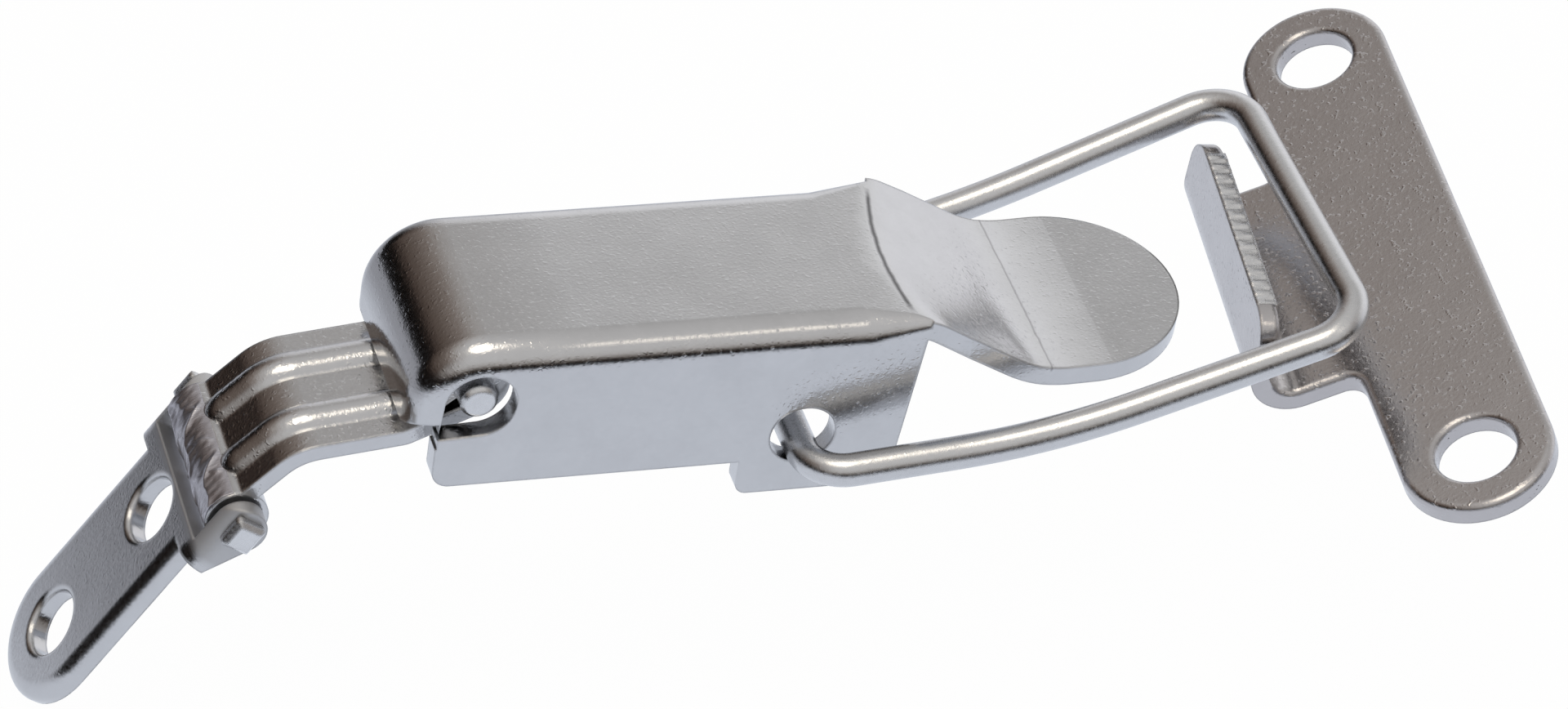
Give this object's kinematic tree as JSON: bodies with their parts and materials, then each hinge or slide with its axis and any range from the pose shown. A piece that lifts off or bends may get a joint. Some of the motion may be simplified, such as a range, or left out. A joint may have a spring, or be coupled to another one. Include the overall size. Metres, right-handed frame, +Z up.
{
  "type": "over centre toggle latch",
  "caption": "Pressed-metal toggle latch: hinged base strip, ribbed link, folded lever with finger tab, wire bail and a T-shaped keeper plate with a leaning hook.",
  "frame": {"origin": "centre of the base plate's inner screw hole, on its mounting face", "axes": "+X from the base plate towards the keeper, +Y across the latch along the pivots, +Z up, square to the lever's top"},
  "size_m": [0.1034, 0.0526, 0.035],
  "materials": {
    "plated_sheet": "satin nickel-plated sheet steel",
    "plated_pin": "bright nickel-plated pin",
    "plated_wire": "bright nickel-plated wire",
    "plated_keeper": "satin nickel-plated sheet steel"
  },
  "bodies": {
    "base": {"base_plate": "plated_sheet", "base_hinge_pin": "plated_pin"},
    "link": {"link_plate": "plated_sheet", "lever_pivot_pin": "plated_pin"},
    "lever": {"lever": "plated_sheet"},
    "bail": {"wire_bail": "plated_wire"},
    "keeper": {"keeper_plate": "plated_keeper"}
  },
  "joints": [
    {"name": "base_hinge", "type": "hinge", "parent": "base", "child": "link", "pos_m": [0.00325, 0, 0.00445], "axis": [0, 1, 0], "range_deg": [-60, 30]},
    {"name": "lever_pivot", "type": "hinge", "parent": "link", "child": "lever", "pos_m": [0.0184, 0, 0.0143], "axis": [0, 1, 0], "range_deg": [0, 105]},
    {"name": "bail_pivot", "type": "hinge", "parent": "lever", "child": "bail", "pos_m": [0.04135, 0, 0.0085], "axis": [0, 1, 0], "range_deg": [-110, 45]},
    {"name": "keeper_swing", "type": "hinge", "parent": "bail", "child": "keeper", "pos_m": [0.0785, 0, 0.0199], "axis": [0, 1, 0], "range_deg": [-25, 35]}
  ]
}
